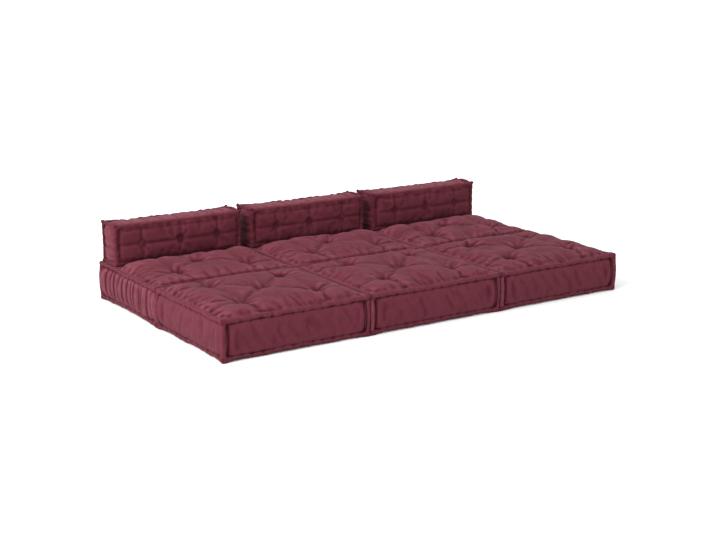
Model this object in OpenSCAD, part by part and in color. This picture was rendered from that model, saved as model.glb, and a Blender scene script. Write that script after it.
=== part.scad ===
// Modular floor sofa: six tufted seat cushions in two rows of three, and three tufted back cushions
// that stand along the rear row. Each cushion is a sewn cover with stuffed rolls along its edges,
// a filling, and cords pulled through it with a tuft at each end.
// +X is to the right seen from the front, +Y to the rear, +Z up. The origin is on the floor at the
// middle of the footprint. A cushion is drawn lying down, with its own origin under its middle.

/* [Seat cushion] */
// Width of a seat over its edge rolls
seat_w = 700; // [600:10:900]
// Depth of a seat over its edge rolls
seat_d = 600; // [520:10:800]
// Height of a seat to the top of its upper roll
seat_h = 180; // [140:5:240]
// Rise of the seat's crown above its upper roll
seat_crown = 22; // [12:1:32]
// Diameter of the seat's upper and lower rolls
seat_roll_d = 25; // [23:1:27]
// Diameter of the rolls up the seat's corners
seat_post_d = 21; // [16:1:22]

/* [Back cushion] */
// Length of a back over its edge rolls
back_l = 640; // [560:10:680]
// Height of a back over its edge rolls
back_h = 190; // [150:5:300]
// Thickness of a back over its edge rolls
back_t = 150; // [110:5:200]
// Swell of the back's two faces beyond their rolls
back_crown = 12; // [6:1:20]
// Diameter of the rolls round the back's two faces
back_roll_d = 20; // [18:1:24]
// Diameter of the rolls along the back's four long corners
back_post_d = 16; // [12:1:17]
// Distance from the rear edge of the seats to the back's rear rolls
back_setback = 12; // [0:1:40]
// How far each back stands to the left of the middle of its seat
back_shift = 15; // [0:1:25]

/* [Cover] */
// Thickness of the cover panels where they are tied or flat
panel_t = 3; // [2:0.5:4]
// How much thicker the face panels' quilting is between the tufts
quilt_t = 4; // [3:0.5:6]
// Radius of the rolls' centre line at a corner
corner_r = 14; // [14:1:24]
// How much larger an ear's radius is than its roll's
ear_over = 1.5; // [0.5:0.5:3]
// Height of a face panel's seam above the middle of its roll
seam_rise = 3; // [1:0.5:5]
// How far the side panels lie inside the face of the rolls
side_inset = 9; // [8:0.5:10]
// How far the middle of a side panel is drawn in
side_draw = 5; // [2:0.5:8]

/* [Tufts] */
// Distance of a seat's outer tufts from its middle, across
seat_tuft_x = 175; // [130:5:210]
// Distance of a seat's outer tufts from its middle, front to rear
seat_tuft_y = 150; // [110:5:180]
// Distance of a back's end tufts from its middle
back_tuft_x = 190; // [140:5:210]
// Depth to which a seat's tufts are drawn down
seat_tuft_depth = 20; // [10:1:26]
// Depth to which a back's tufts are drawn in
back_tuft_depth = 16; // [8:1:22]
// Depth of the crease through a back's tufts
crease_depth = 6; // [2:0.5:10]
// Diameter of a tuft
tuft_d = 22; // [16:1:28]
// Height of a tuft
tuft_h = 4; // [3:0.5:6]
// Diameter of a tufting cord
cord_d = 3; // [2:0.5:4]

/* [Clearances] */
// Clearance between the sewn pieces of one cushion
sew_gap = 0.2; // [0.1:0.05:0.3]
// Gap between neighbouring seats, and under the backs
rest_gap = 0.4; // [0.3:0.1:0.8]

/* [Hidden] */
COLUMNS = ["left", "centre", "right"];
SEAT_PIECES = ["top_panel", "bottom_panel", "side_panels", "edge_rolls", "filling", "tufts"];
BACK_PIECES = ["front_panel", "rear_panel", "border_panels", "edge_rolls", "filling", "tufts"];

// Flat cell round a tuft, from its middle to its side, and the reach of the slope round the cell
tuft_cell = tuft_d / 2 + 3;
tuft_reach = 40;
// Distance of the shoulder line from the rim of a face
shoulder = 28;
// How steeply a face falls to its rim, across and along
seat_power = [4, 4];
back_power = [6, 2.5];
crease_reach = 18;
// Edge of a tuft's dome above its seat
tuft_edge = 1;
// Dimple in a bottom panel: its depth, its wall's lean and its room round the tuft
dimple_depth = tuft_h + 1;
dimple_lean = 8;
dimple_room = 1.5;
// The seat's top in front of a back's foot: how far it stays away, and how high it may rise there
foot_room = 0.5;
foot_step = 1.5;
foot_rise = back_roll_d / 2 - 2;
foot_y = seat_d / 2 - back_setback - back_t;
// Bevel between the filling's waist and the rolls
belly_bevel = 8;
// Lines of a face that lie closer than this are one line, and marks this near a rim are left out
line_step = 0.05;
rim_room = 5;
arc_fn = 180;
round_fn = 64;

seat_tufts = [[0, 0], for (x = [-1, 1], y = [-1, 1]) [x * seat_tuft_x, y * seat_tuft_y]];
back_tufts = [for (x = [-1, 0, 1]) [x * back_tuft_x, 0]];
seat_half = face_half(seat_w, seat_d, seat_roll_d);
back_half = face_half(back_l, back_h, back_roll_d);
seat_seam = seat_h - seat_roll_d / 2 + seam_rise;
back_seam = back_t - back_roll_d / 2 + seam_rise;

// Half sizes of a face panel, which lies inside its rolls
function face_half(w, d, roll_d) = [w / 2 - roll_d - sew_gap, d / 2 - roll_d - sew_gap];

// Distance of a corner roll's axis from both sides of its cushion
function post_inset(roll_d) = roll_d / 2 + corner_r * (1 - cos(45));

// The swell of a face, 1 at its middle and 0 at its rim
function swell(p, half, power) =
    (1 - pow(abs(p[0]) / half[0], power[0])) * (1 - pow(abs(p[1]) / half[1], power[1]));

// Distance of a point from the flat cell round a tuft
function cell_distance(p, t) = norm([for (i = [0, 1]) max(abs(p[i] - t[i]) - tuft_cell, 0)]);

// Height at p of a face that would be plain(p), drawn down to seat_at(tuft) at its tufts
function drawn_down(p, tufts, plain, seat_at) =
    let (distances = [for (t = tufts) cell_distance(p, t)])
    let (nearest = min(distances))
    let (t = tufts[search(nearest, distances)[0]])
    plain(p) + exp(-pow(nearest / tuft_reach, 2)) * (seat_at(t) - plain(p));

// Thickness of a face panel at p
function face_thickness(p, tufts) =
    panel_t + (min([for (t = tufts) cell_distance(p, t)]) > 0 ? quilt_t : 0);

function seat_plain(p) = seat_seam + (seat_h + seat_crown - seat_seam) * swell(p, seat_half, seat_power);

// A back presses the rear of its seat down to the level of the roll
function under_back(y) = y > foot_y ? seat_h : seat_h + foot_rise + foot_y - y;

function seat_tuft_z(t, rear) =
    let (z = seat_plain(t) - seat_tuft_depth)
    rear && t[1] + tuft_cell > foot_y ? min(z, seat_h - tuft_h - 1) : z;

function seat_top(p, rear) =
    let (z = drawn_down(p, seat_tufts, function(q) seat_plain(q), function(t) seat_tuft_z(t, rear)))
    rear ? min(z, under_back(p[1])) : z;

function seat_inside(p, rear) = seat_top(p, rear) - face_thickness(p, seat_tufts);

// The back's face, with the crease through its tufts
function back_plain(p) =
    let (rise = swell(p, back_half, back_power))
    let (crease = exp(-pow(max(abs(p[1]) - tuft_cell, 0) / crease_reach, 2)))
    back_seam + (back_t + back_crown - back_seam - crease_depth * crease) * rise;

function back_tuft_z(t) = back_plain([0, 0]) + crease_depth - back_tuft_depth;

function back_face(p) = drawn_down(p, back_tufts, function(q) back_plain(q), function(t) back_tuft_z(t));

function back_inside(p) = back_face(p) - face_thickness(p, back_tufts);

// A list in rising order, without repeats
function in_order(v) =
    len(v) < 2 ? v : concat(
        in_order([for (a = v) if (a < v[0] - line_step) a]),
        [v[0]],
        in_order([for (a = v) if (a > v[0] + line_step) a])
    );

// The lines of a face along one axis: its rims, and each mark inside them with its offsets
function face_lines(half, marks, offsets, others) =
    let (inner = concat([for (m = marks, o = offsets) m + o], others))
    in_order(concat([-half, half], [for (a = inner) if (abs(a) < half - rim_room) a]));

// Outer surfaces have fine lines; the surface between a cover and its filling has plain ones
function fine_lines(half, marks, others) =
    face_lines(half, marks, [-tuft_reach - 5, -tuft_cell, tuft_cell, tuft_reach + 5],
        concat(others, [shoulder - half, half - shoulder]));
function plain_lines(half, marks, others) =
    face_lines(half, marks, [-tuft_cell, tuft_cell],
        concat(others, [for (i = [1:1:len(marks) - 1]) (marks[i - 1] + marks[i]) / 2]));

function seat_columns() = [-seat_tuft_x, 0, seat_tuft_x];
function seat_rows() = [-seat_tuft_y, 0, seat_tuft_y];
function foot_lines(rear) = rear ? [foot_y - foot_room, foot_y - foot_room + foot_step] : [];

// How far a square corner of a face draws back from the corner of its rolls
function corner_pull(roll_d, post_d) =
    let (round = (corner_r - roll_d / 2) * (1 - cos(45)))
    let (post = (post_d / 2 + sew_gap) * cos(45) - (roll_d + sew_gap - post_inset(roll_d)))
    max(round, post, 0) + sew_gap;

// The points of a face over its lines, with the four corners drawn back
function face_points(xs, ys, pull, z_at) =
    let (far = [xs[len(xs) - 1], ys[len(ys) - 1]])
    [for (y = ys, x = xs)
        let (back = abs(x) == far[0] && abs(y) == far[1] ? pull : 0)
        [x - sign(x) * back, y - sign(y) * back, z_at([x, y])]];

// Triangles over nx by ny points that start at index first, seen from above. Each cell is split
// along its higher diagonal, or its lower one
function face_triangles(pts, nx, ny, first, higher) =
    [for (j = [0:ny - 2], i = [0:nx - 2])
        let (a = first + j * nx + i)
        let (b = a + 1)
        let (d = a + nx)
        let (c = d + 1)
        let (rising = pts[a][2] + pts[c][2] > pts[b][2] + pts[d][2])
        each rising == higher ? [[a, d, c], [a, c, b]] : [[a, d, b], [b, d, c]]];

function turned(triangles) = [for (t = triangles) [t[0], t[2], t[1]]];

// The rim of such a face as four chains of indices, counter-clockwise from the front left corner
function rim_chains(nx, ny, first) = [
    [for (i = [0:nx - 1]) first + i],
    [for (j = [0:ny - 1]) first + j * nx + nx - 1],
    [for (i = [nx - 1:-1:0]) first + (ny - 1) * nx + i],
    [for (j = [ny - 1:-1:0]) first + j * nx]
];

// Triangles between an upper and a lower chain, seen from outside
function strip(upper, lower) =
    let (k = floor(len(lower) / 2))
    concat(
        [for (i = [0:len(upper) - 2]) [upper[i], upper[i + 1], lower[k]]],
        [for (j = [0:len(lower) - 2]) [j < k ? upper[0] : upper[len(upper) - 1], lower[j + 1], lower[j]]]
    );

// A ring of eight points round a cushion: a rectangle with its corners cut off
function ring_points(w, d, inset, cut, z) =
    let (x = w / 2 - inset, y = d / 2 - inset)
    [[cut - x, -y, z], [x - cut, -y, z], [x, cut - y, z], [x, y - cut, z],
     [x - cut, y, z], [cut - x, y, z], [-x, y - cut, z], [-x, cut - y, z]];

// How much is cut off a ring's corners to pass the corner rolls
function ring_cut(inset, roll_d, post_d) =
    max(1, (post_d / 2 + sew_gap) / cos(45) - 2 * (inset - post_inset(roll_d)));

// A face panel: its outer surface over fine lines and its inner one over plain lines
module tufted_panel(fine_x, fine_y, plain_x, plain_y, pull, outer_z, inner_z) {
    outer = face_points(fine_x, fine_y, pull, outer_z);
    inner = face_points(plain_x, plain_y, pull, inner_z);
    pts = concat(outer, inner);
    upper = rim_chains(len(fine_x), len(fine_y), 0);
    lower = rim_chains(len(plain_x), len(plain_y), len(outer));
    polyhedron(pts, concat(
        face_triangles(pts, len(fine_x), len(fine_y), 0, true),
        turned(face_triangles(pts, len(plain_x), len(plain_y), len(outer), false)),
        [for (k = [0:3]) each strip(upper[k], lower[k])]
    ));
}

// The filling's body: an upper and a lower surface with a waist between that reaches the sides
module stuffing(w, d, h, roll_d, post_d, upper_x, upper_y, upper_z, lower_x, lower_y, lower_z) {
    pull = corner_pull(roll_d, post_d);
    core = roll_d + sew_gap;
    waist = side_inset + panel_t + side_draw + sew_gap;
    core_cut = ring_cut(core, roll_d, post_d);
    waist_cut = ring_cut(waist, roll_d, post_d);
    top = face_points(upper_x, upper_y, pull, upper_z);
    bottom = face_points(lower_x, lower_y, pull, lower_z);
    rings = concat(
        ring_points(w, d, core, core_cut, h - core),
        ring_points(w, d, waist, waist_cut, h - core - belly_bevel),
        ring_points(w, d, waist, waist_cut, core + belly_bevel),
        ring_points(w, d, core, core_cut, core)
    );
    pts = concat(top, rings, bottom);
    ring_0 = len(top);
    ring_3 = ring_0 + 24;
    base_0 = ring_0 + 32;
    upper = rim_chains(len(upper_x), len(upper_y), 0);
    lower = rim_chains(len(lower_x), len(lower_y), base_0);
    polyhedron(pts, concat(
        face_triangles(pts, len(upper_x), len(upper_y), 0, false),
        [for (k = [0:3]) each strip(upper[k], [ring_0 + 2 * k, ring_0 + 2 * k + 1])],
        [for (k = [0:3]) [upper[(k + 1) % 4][0], ring_0 + (2 * k + 2) % 8, ring_0 + 2 * k + 1]],
        [for (r = [0:2], i = [0:7])
            let (a = ring_0 + 8 * r + i)
            let (b = ring_0 + 8 * r + (i + 1) % 8)
            each [[a, b, b + 8], [a, b + 8, a + 8]]],
        [for (k = [0:3]) each strip([ring_3 + 2 * k, ring_3 + 2 * k + 1], lower[k])],
        [for (k = [0:3]) [ring_3 + 2 * k + 1, ring_3 + (2 * k + 2) % 8, lower[(k + 1) % 4][0]]],
        turned(face_triangles(pts, len(lower_x), len(lower_y), base_0, true))
    ));
}

// One face's roll: four straight lengths and four turned corners
module roll_ring(w, d, roll_d, z) {
    run_x = w / 2 - roll_d / 2 - corner_r;
    run_y = d / 2 - roll_d / 2 - corner_r;
    translate([0, 0, z])
        for (quarter = [0:3])
            rotate([0, 0, quarter * 90]) {
                a = quarter % 2 == 0 ? run_x : run_y;
                b = quarter % 2 == 0 ? run_y : run_x;
                translate([-a, -b - corner_r, 0])
                    rotate([0, 90, 0])
                        cylinder(h = 2 * a, d = roll_d, $fn = round_fn);
                translate([a, -b, 0])
                    rotate([0, 0, -90])
                        rotate_extrude(angle = 90, $fn = round_fn)
                            translate([corner_r, 0])
                                circle(d = roll_d, $fn = round_fn);
            }
}

// Puts its children at the four corners of a cushion, this far from both sides
module at_corners(w, d, inset) {
    for (x = [-1, 1], y = [-1, 1])
        translate([x * (w / 2 - inset), y * (d / 2 - inset), 0])
            children();
}

// All of a cushion's rolls, sewn into one frame, with an ear at each corner
module roll_frame(w, d, h, roll_d, post_d) {
    ear_r = roll_d / 2 + ear_over;
    roll_ring(w, d, roll_d, roll_d / 2);
    roll_ring(w, d, roll_d, h - roll_d / 2);
    at_corners(w, d, post_inset(roll_d))
        translate([0, 0, roll_d / 2])
            cylinder(h = h - roll_d, d = post_d, $fn = round_fn);
    at_corners(w, d, ear_r)
        for (z = [ear_r, h - ear_r])
            translate([0, 0, z])
                sphere(r = ear_r, $fn = round_fn);
}

// The section of a side panel, from its outer face inwards, drawn in at half height
module side_section(h, roll_d) {
    low = panel_edge(roll_d);
    chord = h - 2 * low;
    bow_r = (chord * chord / 4 + side_draw * side_draw) / (2 * side_draw);
    intersection() {
        translate([side_inset + side_draw - bow_r, h / 2])
            difference() {
                circle(r = bow_r + panel_t, $fn = arc_fn);
                circle(r = bow_r, $fn = arc_fn);
            }
        translate([side_inset - panel_t, low])
            square([side_draw + 3 * panel_t, chord]);
    }
}

// Height at which a side panel's edge meets the round of its roll
function panel_edge(roll_d) =
    let (r = roll_d / 2)
    let (off = max(0, r - side_inset - panel_t))
    r + sqrt(pow(r + sew_gap, 2) - off * off);

// The four side panels between the rolls, each cut round the corner rolls at its ends
module side_set(w, d, h, roll_d, post_d) {
    corner = post_inset(roll_d);
    for (quarter = [0:3])
        rotate([0, 0, quarter * 90]) {
            a = quarter % 2 == 0 ? w : d;
            b = quarter % 2 == 0 ? d : w;
            difference() {
                translate([corner - a / 2, -b / 2, 0])
                    rotate([90, 0, 90])
                        linear_extrude(a - 2 * corner)
                            side_section(h, roll_d);
                at_corners(a, b, corner)
                    cylinder(h = h, d = post_d + 2 * sew_gap, $fn = round_fn);
            }
        }
}

// A tuft's low dome, standing on its seat
module tuft_head() {
    rise = tuft_h - tuft_edge;
    dome_r = (tuft_d * tuft_d / 4 + rise * rise) / (2 * rise);
    intersection() {
        cylinder(h = tuft_h, d = tuft_d, $fn = round_fn);
        translate([0, 0, tuft_h - dome_r])
            sphere(r = dome_r, $fn = round_fn);
    }
}

// A cord between two seats, with a tuft at each end
module tied_tuft(low, high) {
    translate([0, 0, low])
        cylinder(h = high - low, d = cord_d, $fn = round_fn);
    translate([0, 0, high])
        tuft_head();
    translate([0, 0, low])
        rotate([180, 0, 0])
            tuft_head();
}

// A cord's hole, through everything between two heights
module cord_holes(tufts, low, high) {
    for (t = tufts)
        translate([t[0], t[1], low])
            cylinder(h = high - low, d = cord_d + 2 * sew_gap, $fn = round_fn);
}

// The cone of a dimple in a bottom panel, grown by some margin
module dimple_cones(margin) {
    room = tuft_d / 2 + dimple_room;
    for (t = seat_tufts)
        translate([t[0], t[1], 0])
            cylinder(h = dimple_depth + margin, r1 = room + dimple_lean + margin, r2 = room + margin,
                $fn = round_fn);
}

module seat_top_panel(rear) {
    color([0.52, 0.20, 0.25])
        difference() {
            tufted_panel(
                fine_lines(seat_half[0], seat_columns(), []),
                fine_lines(seat_half[1], seat_rows(), foot_lines(rear)),
                plain_lines(seat_half[0], seat_columns(), []),
                plain_lines(seat_half[1], seat_rows(), foot_lines(rear)),
                corner_pull(seat_roll_d, seat_post_d),
                function(p) seat_top(p, rear),
                function(p) seat_inside(p, rear)
            );
            cord_holes(seat_tufts, seat_h / 2, seat_h + seat_crown);
        }
}

// The bottom panel lies flat on the floor between the lower rolls
module seat_bottom_panel() {
    r = seat_roll_d / 2;
    inset = r + sqrt(pow(r + sew_gap, 2) - pow(r - panel_t, 2));
    cut = 2 * (r + corner_r - inset) * (1 - cos(45));
    color([0.36, 0.13, 0.17])
        difference() {
            union() {
                linear_extrude(panel_t)
                    polygon([for (p = ring_points(seat_w, seat_d, inset, cut, 0)) [p[0], p[1]]]);
                dimple_cones(panel_t);
            }
            dimple_cones(0);
            cord_holes(seat_tufts, 0, seat_h / 2);
        }
}

module seat_side_panels() {
    color([0.44, 0.17, 0.21])
        side_set(seat_w, seat_d, seat_h, seat_roll_d, seat_post_d);
}

module seat_edge_rolls() {
    color([0.56, 0.23, 0.28])
        roll_frame(seat_w, seat_d, seat_h, seat_roll_d, seat_post_d);
}

module seat_filling(rear) {
    base = panel_t + sew_gap;
    color([0.86, 0.82, 0.74])
        difference() {
            stuffing(
                seat_w, seat_d, seat_h, seat_roll_d, seat_post_d,
                plain_lines(seat_half[0], seat_columns(), []),
                plain_lines(seat_half[1], seat_rows(), foot_lines(rear)),
                function(p) seat_inside(p, rear) - sew_gap,
                [-seat_half[0], seat_half[0]],
                [-seat_half[1], seat_half[1]],
                function(p) base
            );
            dimple_cones(panel_t + sew_gap);
            cord_holes(seat_tufts, 0, seat_h + seat_crown);
        }
}

module seat_tufts_set(rear) {
    color([0.40, 0.12, 0.17])
        for (t = seat_tufts)
            translate([t[0], t[1], 0])
                tied_tuft(dimple_depth - sew_gap, seat_tuft_z(t, rear) + sew_gap);
}

// One face of a back, as its upper face when it lies down
module back_panel() {
    color([0.48, 0.18, 0.23])
        difference() {
            tufted_panel(
                fine_lines(back_half[0], [for (t = back_tufts) t[0]], []),
                fine_lines(back_half[1], [0], []),
                plain_lines(back_half[0], [for (t = back_tufts) t[0]], []),
                plain_lines(back_half[1], [0], []),
                corner_pull(back_roll_d, back_post_d),
                function(p) back_face(p),
                function(p) back_inside(p)
            );
            cord_holes(back_tufts, back_t / 2, back_t + back_crown);
        }
}

module back_front_panel() {
    back_panel();
}

module back_rear_panel() {
    translate([0, 0, back_t])
        rotate([180, 0, 0])
            back_panel();
}

module back_border_panels() {
    color([0.44, 0.17, 0.21])
        side_set(back_l, back_h, back_t, back_roll_d, back_post_d);
}

module back_edge_rolls() {
    color([0.56, 0.23, 0.28])
        roll_frame(back_l, back_h, back_t, back_roll_d, back_post_d);
}

module back_filling() {
    xs = plain_lines(back_half[0], [for (t = back_tufts) t[0]], []);
    ys = plain_lines(back_half[1], [0], []);
    color([0.86, 0.82, 0.74])
        difference() {
            stuffing(
                back_l, back_h, back_t, back_roll_d, back_post_d,
                xs, ys, function(p) back_inside(p) - sew_gap,
                xs, ys, function(p) back_t - back_inside(p) + sew_gap
            );
            cord_holes(back_tufts, 0, back_t);
        }
}

module back_tufts_set() {
    color([0.40, 0.12, 0.17])
        for (t = back_tufts)
            translate([t[0], t[1], 0])
                tied_tuft(back_t - back_tuft_z(t) - sew_gap, back_tuft_z(t) + sew_gap);
}

// Places: side is -1 for the left column, 0 for the middle one and 1 for the right one
module in_front_row(side) {
    translate([side * (seat_w + rest_gap), -(seat_d + rest_gap) / 2, 0])
        children();
}

module in_rear_row(side) {
    translate([side * (seat_w + rest_gap), (seat_d + rest_gap) / 2, 0])
        children();
}

// A back stands on its seat: its own upper face turns to the front
module on_rear_row(side) {
    x = side * (seat_w + rest_gap) - back_shift;
    translate([x, seat_d + rest_gap / 2 - back_setback, seat_h + rest_gap + back_h / 2])
        rotate([90, 0, 0])
            children();
}

in_front_row(-1) seat_top_panel(false);  // front_left_top_panel
in_front_row(-1) seat_bottom_panel();  // front_left_bottom_panel
in_front_row(-1) seat_side_panels();  // front_left_side_panels
in_front_row(-1) seat_edge_rolls();  // front_left_edge_rolls
in_front_row(-1) seat_filling(false);  // front_left_filling
in_front_row(-1) seat_tufts_set(false);  // front_left_tufts

in_front_row(0) seat_top_panel(false);  // front_centre_top_panel
in_front_row(0) seat_bottom_panel();  // front_centre_bottom_panel
in_front_row(0) seat_side_panels();  // front_centre_side_panels
in_front_row(0) seat_edge_rolls();  // front_centre_edge_rolls
in_front_row(0) seat_filling(false);  // front_centre_filling
in_front_row(0) seat_tufts_set(false);  // front_centre_tufts

in_front_row(1) seat_top_panel(false);  // front_right_top_panel
in_front_row(1) seat_bottom_panel();  // front_right_bottom_panel
in_front_row(1) seat_side_panels();  // front_right_side_panels
in_front_row(1) seat_edge_rolls();  // front_right_edge_rolls
in_front_row(1) seat_filling(false);  // front_right_filling
in_front_row(1) seat_tufts_set(false);  // front_right_tufts

in_rear_row(-1) seat_top_panel(true);  // rear_left_top_panel
in_rear_row(-1) seat_bottom_panel();  // rear_left_bottom_panel
in_rear_row(-1) seat_side_panels();  // rear_left_side_panels
in_rear_row(-1) seat_edge_rolls();  // rear_left_edge_rolls
in_rear_row(-1) seat_filling(true);  // rear_left_filling
in_rear_row(-1) seat_tufts_set(true);  // rear_left_tufts

in_rear_row(0) seat_top_panel(true);  // rear_centre_top_panel
in_rear_row(0) seat_bottom_panel();  // rear_centre_bottom_panel
in_rear_row(0) seat_side_panels();  // rear_centre_side_panels
in_rear_row(0) seat_edge_rolls();  // rear_centre_edge_rolls
in_rear_row(0) seat_filling(true);  // rear_centre_filling
in_rear_row(0) seat_tufts_set(true);  // rear_centre_tufts

in_rear_row(1) seat_top_panel(true);  // rear_right_top_panel
in_rear_row(1) seat_bottom_panel();  // rear_right_bottom_panel
in_rear_row(1) seat_side_panels();  // rear_right_side_panels
in_rear_row(1) seat_edge_rolls();  // rear_right_edge_rolls
in_rear_row(1) seat_filling(true);  // rear_right_filling
in_rear_row(1) seat_tufts_set(true);  // rear_right_tufts

on_rear_row(-1) back_front_panel();  // back_left_front_panel
on_rear_row(-1) back_rear_panel();  // back_left_rear_panel
on_rear_row(-1) back_border_panels();  // back_left_border_panels
on_rear_row(-1) back_edge_rolls();  // back_left_edge_rolls
on_rear_row(-1) back_filling();  // back_left_filling
on_rear_row(-1) back_tufts_set();  // back_left_tufts

on_rear_row(0) back_front_panel();  // back_centre_front_panel
on_rear_row(0) back_rear_panel();  // back_centre_rear_panel
on_rear_row(0) back_border_panels();  // back_centre_border_panels
on_rear_row(0) back_edge_rolls();  // back_centre_edge_rolls
on_rear_row(0) back_filling();  // back_centre_filling
on_rear_row(0) back_tufts_set();  // back_centre_tufts

on_rear_row(1) back_front_panel();  // back_right_front_panel
on_rear_row(1) back_rear_panel();  // back_right_rear_panel
on_rear_row(1) back_border_panels();  // back_right_border_panels
on_rear_row(1) back_edge_rolls();  // back_right_edge_rolls
on_rear_row(1) back_filling();  // back_right_filling
on_rear_row(1) back_tufts_set();  // back_right_tufts
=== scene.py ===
import math
import bpy
import numpy as np
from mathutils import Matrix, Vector
from mathutils.bvhtree import BVHTree
from types import SimpleNamespace


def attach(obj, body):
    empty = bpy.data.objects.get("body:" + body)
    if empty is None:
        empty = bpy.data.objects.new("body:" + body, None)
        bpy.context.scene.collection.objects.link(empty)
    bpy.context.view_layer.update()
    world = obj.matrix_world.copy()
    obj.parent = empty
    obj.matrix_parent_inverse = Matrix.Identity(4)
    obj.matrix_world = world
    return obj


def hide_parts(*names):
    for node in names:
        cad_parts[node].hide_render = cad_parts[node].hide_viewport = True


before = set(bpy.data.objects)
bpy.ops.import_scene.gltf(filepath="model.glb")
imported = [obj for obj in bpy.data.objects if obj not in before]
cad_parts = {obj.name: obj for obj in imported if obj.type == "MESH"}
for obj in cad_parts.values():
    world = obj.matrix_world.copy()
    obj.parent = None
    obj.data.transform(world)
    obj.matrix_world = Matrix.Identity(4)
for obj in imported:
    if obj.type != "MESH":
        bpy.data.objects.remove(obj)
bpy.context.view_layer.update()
print("frame loaded, nodes:", len(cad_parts))


# finishes

cottonLook = {
    "colour": (0.0875, 0.0142, 0.0230),
    "deep": (0.036, 0.0026, 0.0056),       # painted shade down in the folds and beside the seams
    "highlightAndWear": (0.172, 0.0455, 0.0635),       # painted highlight on the crests of the folds and rolls, partly their brushed wear
    "threadPitch": 0.0016,
    "weaveDepth": 0.00022,
    "fuzz": 1.6,            # height of the fuzz, in threads
    "patches": {"dye": 0.30, "pile": 0.22, "slub": 0.12, "least": 0.68},
    "sheen": 0.06,
    "sheenTint": (1.0, 0.50, 0.58, 1),
    "roughness": (0.82, 0.96),
}


def feed(tree, made, inputs):
    # a socket is linked, and a plain value is set
    for name, value in inputs.items():
        if hasattr(value, "links"):
            tree.links.new(value, made.inputs[name])
        else:
            made.inputs[name].default_value = value


def node(tree, kind, inputs, output, **settings):
    made = tree.nodes.new(kind)
    for name, value in settings.items():
        setattr(made, name, value)
    feed(tree, made, inputs)
    return made.outputs[output]


def maths(tree, operation, first, second, clamp=False):
    return node(tree, "ShaderNodeMath", {0: first, 1: second}, 0, operation=operation, use_clamp=clamp)


def mixColour(tree, amount, first, second, blend="MIX"):
    inputs = {0: amount, 6: first, 7: second}
    return node(tree, "ShaderNodeMix", inputs, 2, data_type="RGBA", blend_type=blend)


def tinted(colour, share=1.0):
    return (*[c * share for c in colour], 1)


def bands(tree, vector, direction, pitch, distortion, detail, detailScale=1.0):
    # the wave texture draws a sine of 20 times its scale
    inputs = {"Vector": vector, "Scale": 2 * math.pi / 20 / pitch, "Distortion": distortion,
              "Detail": detail, "Detail Scale": detailScale}
    return node(tree, "ShaderNodeTexWave", inputs, "Fac", wave_type="BANDS", bands_direction=direction)


def noise(tree, vector, scale, detail, roughness=0.5):
    inputs = {"Vector": vector, "Scale": scale, "Detail": detail, "Roughness": roughness}
    return node(tree, "ShaderNodeTexNoise", inputs, "Fac")


def newMaterial(name):
    material = bpy.data.materials.new(name)
    material.use_nodes = True
    tree = material.node_tree
    return material, tree, tree.nodes["Principled BSDF"]


def coat(tree, shader, colour, shine, roughness, height, strength, depth):
    # the roughness follows shine between its two values, and height raises the bump
    low, high = roughness
    rough = node(tree, "ShaderNodeMapRange", {"Value": shine, "To Min": low, "To Max": high}, "Result")
    relief = {"Height": height, "Strength": strength, "Distance": depth}
    bump = node(tree, "ShaderNodeBump", relief, "Normal")
    feed(tree, shader, {"Base Color": colour, "Roughness": rough, "Normal": bump})


def brushedCotton(name, look, tint=1.0):
    material, tree, shader = newMaterial(name)
    place = node(tree, "ShaderNodeTexCoord", {}, "Object")
    cloth = node(tree, "ShaderNodeAttribute", {}, "Vector", attribute_name="cloth")
    fold = node(tree, "ShaderNodeAttribute", {}, "Fac", attribute_name="fold")

    # warp and weft, a sine each way, crossed, with fuzz on them
    warp, weft = [bands(tree, cloth, way, look["threadPitch"], 0.6, 1.0, 0.4) for way in ("X", "Y")]
    fuzz = maths(tree, "MULTIPLY", noise(tree, place, 900, 3, 0.65), look["fuzz"])
    weave = maths(tree, "ADD", maths(tree, "ADD", warp, weft), fuzz)

    # soft patches of dye, the long pile's light and dark, and slubs along the threads
    share = look["patches"]
    pile = noise(tree, place, 46, 4, 0.6)
    stretched = node(tree, "ShaderNodeMapping", {"Vector": cloth, "Scale": (60, 900, 1)}, "Vector")
    patch = maths(tree, "ADD", maths(tree, "MULTIPLY", noise(tree, place, 5, 3, 0.55), share["dye"]),
                  maths(tree, "MULTIPLY", pile, share["pile"]))
    patch = maths(tree, "ADD", patch, maths(tree, "MULTIPLY", noise(tree, stretched, 1, 2), share["slub"]))
    patch = maths(tree, "ADD", patch, share["least"])
    grey = node(tree, "ShaderNodeCombineColor", {0: patch, 1: patch, 2: patch}, 0)
    colour = mixColour(tree, 1.0, tinted(look["colour"], tint), grey, "MULTIPLY")
    # the fold attribute paints light and shade: above zero it lightens towards the painted highlight
    # colour, below zero it darkens towards the painted shade colour
    low, high = [maths(tree, "MULTIPLY", fold, way, True) for way in (-1.0, 1.0)]
    # painted highlight on crests, partly brushed wear, thicker where the pile is long
    highlightAndWear = maths(tree, "MULTIPLY", high, maths(tree, "MULTIPLY", pile, 1.3))
    colour = mixColour(tree, highlightAndWear, colour, tinted(look["highlightAndWear"], tint))
    colour = mixColour(tree, low, colour, tinted(look["deep"], tint))
    coat(tree, shader, colour, pile, look["roughness"], weave, 0.7, look["weaveDepth"])
    feed(tree, shader, {"Specular IOR Level": 0.10, "Sheen Weight": look["sheen"],
                        "Sheen Roughness": 0.42, "Sheen Tint": look["sheenTint"]})
    return material


threadLook = {
    "colour": (0.018, 0.0022, 0.0042),
    "twistPitch": 0.0022,
    "twistDepth": 0.0004,
    "roughness": (0.6, 0.85),
}


def waxedThread(name, look):
    material, tree, shader = newMaterial(name)
    place = node(tree, "ShaderNodeTexCoord", {}, "Object")
    twist = bands(tree, place, "DIAGONAL", look["twistPitch"], 1.2, 2.0)
    colour = mixColour(tree, twist, tinted(look["colour"]), tinted(look["colour"], 1.9))
    coat(tree, shader, colour, twist, look["roughness"], twist, 0.6, look["twistDepth"])
    return material


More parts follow.
